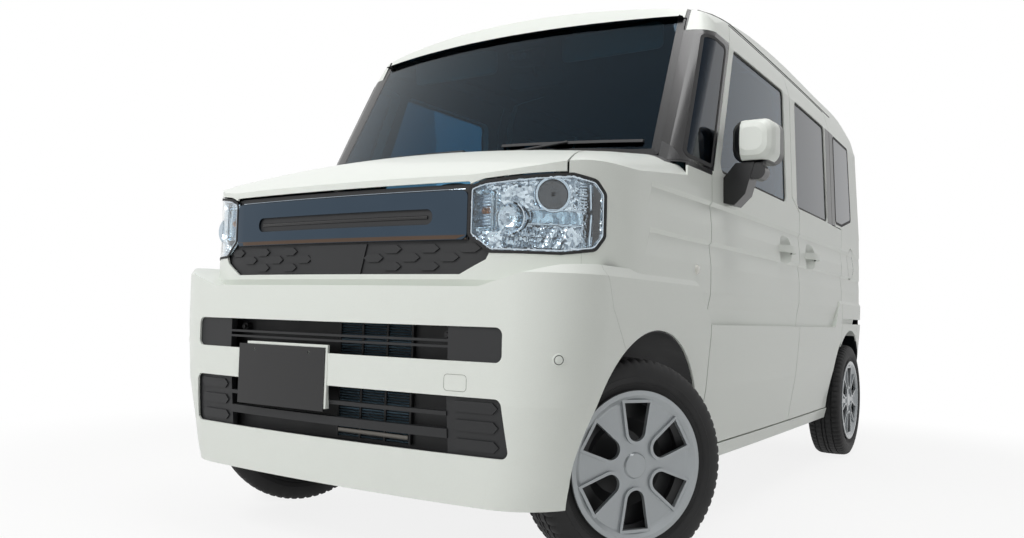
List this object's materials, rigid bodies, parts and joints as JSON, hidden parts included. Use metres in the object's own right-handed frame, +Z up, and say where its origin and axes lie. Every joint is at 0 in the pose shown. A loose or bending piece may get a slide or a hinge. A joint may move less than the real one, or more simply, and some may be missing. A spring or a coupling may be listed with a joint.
{
  "type": "kei wagon",
  "caption": "Tall boxy kei-class wagon with steered front wheels, hinged front doors, sliding rear doors, bonnet, tailgate and filler door",
  "frame": {"origin": "on the ground under the centre of the car's box", "axes": "+X to the car's own left, -Y is forward (the nose), +Z up"},
  "size_m": [1.7716, 3.3948, 1.785],
  "materials": {
    "black_plastic": "grained black moulding",
    "cast_alloy": "cast alloy",
    "clear_lens": "clear polycarbonate",
    "dark_chrome": "smoked chrome plating",
    "gloss_black": "gloss black moulding",
    "grey_fabric": "woven upholstery",
    "raw_steel": "plain steel",
    "red_lens": "red acrylic",
    "silver_trim": "silver painted plastic",
    "steel": "black painted steel",
    "tinted_glass": "tinted safety glass",
    "tyre_rubber": "moulded rubber",
    "white_paint": "pearl white clear-coated paint"
  },
  "bodies": {
    "body": {"body_side_left": "white_paint", "body_side_right": "white_paint", "bumper_ducts": "black_plastic", "bumper_grilles": "black_plastic", "cowl_tray": "black_plastic", "dashboard": "black_plastic", "engine_block": "cast_alloy", "exhaust_pipe": "raw_steel", "floor_pan": "white_paint", "front_bumper": "white_paint", "front_fenders": "white_paint", "front_seats": "grey_fabric", "front_subframe": "steel", "fuel_tank": "steel", "grille_bar": "dark_chrome", "grille_mesh": "black_plastic", "headlamp_bowls": "dark_chrome", "headlamp_lenses": "clear_lens", "number_plate": "gloss_black", "pillar_garnishes": "gloss_black", "radiator": "cast_alloy", "rear_beam": "steel", "rear_bumper": "white_paint", "rear_seat": "grey_fabric", "roof_panel": "white_paint", "side_glasses": "tinted_glass", "sliding_doors": "white_paint", "sliding_handles": "white_paint", "tail_lamps": "red_lens", "wheel_liners": "black_plastic", "windscreen": "tinted_glass", "wipers": "black_plastic"},
    "front_wheel_left": {"tyre_front_left": "tyre_rubber", "wheel_front_left": "steel", "wheel_cover_front_left": "silver_trim"},
    "front_wheel_right": {"tyre_front_right": "tyre_rubber", "wheel_front_right": "steel", "wheel_cover_front_right": "silver_trim"},
    "rear_wheel_left": {"tyre_rear_left": "tyre_rubber", "wheel_rear_left": "steel", "wheel_cover_rear_left": "silver_trim"},
    "rear_wheel_right": {"tyre_rear_right": "tyre_rubber", "wheel_rear_right": "steel", "wheel_cover_rear_right": "silver_trim"},
    "upright_left": {"knuckle_left": "steel"},
    "upright_right": {"knuckle_right": "steel"},
    "driver_wheel": {"steering_wheel": "black_plastic"},
    "left_door": {"front_door_left": "white_paint", "front_door_glass_left": "tinted_glass", "door_mirror_left": "white_paint", "front_handle_left": "white_paint"},
    "right_door": {"front_door_right": "white_paint", "front_door_glass_right": "tinted_glass", "door_mirror_right": "white_paint", "front_handle_right": "white_paint"},
    "rear_gate": {"tailgate": "white_paint", "tailgate_glass": "tinted_glass", "rear_wiper": "black_plastic"},
    "front_lid": {"bonnet": "white_paint"},
    "filler_door": {"fuel_lid": "white_paint"}
  },
  "joints": [
    {"name": "steer_left", "type": "hinge", "parent": "body", "child": "upright_left", "pos_m": [0.58, -1.1943, 0.275], "axis": [0, 0, 1], "range_deg": [-3, 67]},
    {"name": "steer_right", "type": "hinge", "parent": "body", "child": "upright_right", "pos_m": [-0.58, -1.1943, 0.275], "axis": [0, 0, 1], "range_deg": [-3, 67]},
    {"name": "spin_front_left", "type": "hinge", "parent": "upright_left", "child": "front_wheel_left", "pos_m": [0.63936, -1.23139, 0.275], "axis": [0.848, -0.5299, 0], "continuous": true},
    {"name": "spin_rear_left", "type": "hinge", "parent": "body", "child": "rear_wheel_left", "pos_m": [0.65, 1.2657, 0.275], "axis": [1, 0, 0], "continuous": true},
    {"name": "spin_front_right", "type": "hinge", "parent": "upright_right", "child": "front_wheel_right", "pos_m": [-0.63936, -1.15721, 0.275], "axis": [0.848, -0.5299, 0], "continuous": true},
    {"name": "spin_rear_right", "type": "hinge", "parent": "body", "child": "rear_wheel_right", "pos_m": [-0.65, 1.2657, 0.275], "axis": [1, 0, 0], "continuous": true},
    {"name": "steering_wheel_turn", "type": "hinge", "parent": "body", "child": "driver_wheel", "pos_m": [-0.345, -0.47, 0.985], "axis": [0, 0.8829, 0.4695], "range_deg": [-51, 1139]},
    {"name": "left_door_swing", "type": "hinge", "parent": "body", "child": "left_door", "pos_m": [0.725, -0.785, 0.95], "axis": [0, 0, -1], "range_deg": [0, 65]},
    {"name": "right_door_swing", "type": "hinge", "parent": "body", "child": "right_door", "pos_m": [-0.725, -0.785, 0.95], "axis": [0, 0, 1], "range_deg": [0, 65]},
    {"name": "rear_gate_lift", "type": "hinge", "parent": "body", "child": "rear_gate", "pos_m": [0, 1.6, 1.697], "axis": [1, 0, 0], "range_deg": [0, 80]},
    {"name": "bonnet_lift", "type": "hinge", "parent": "body", "child": "front_lid", "pos_m": [0, -1.15, 1.146], "axis": [-1, 0, 0], "range_deg": [0, 55]},
    {"name": "filler_door_swing", "type": "hinge", "parent": "body", "child": "filler_door", "pos_m": [0.731, 1.2057, 0.96], "axis": [0, 0, -1], "range_deg": [0, 100]}
  ],
  "couplings": [
    {"joint": "steer_right", "follows": "steer_left", "ratio": 1},
    {"joint": "steering_wheel_turn", "follows": "steer_left", "ratio": 17}
  ]
}
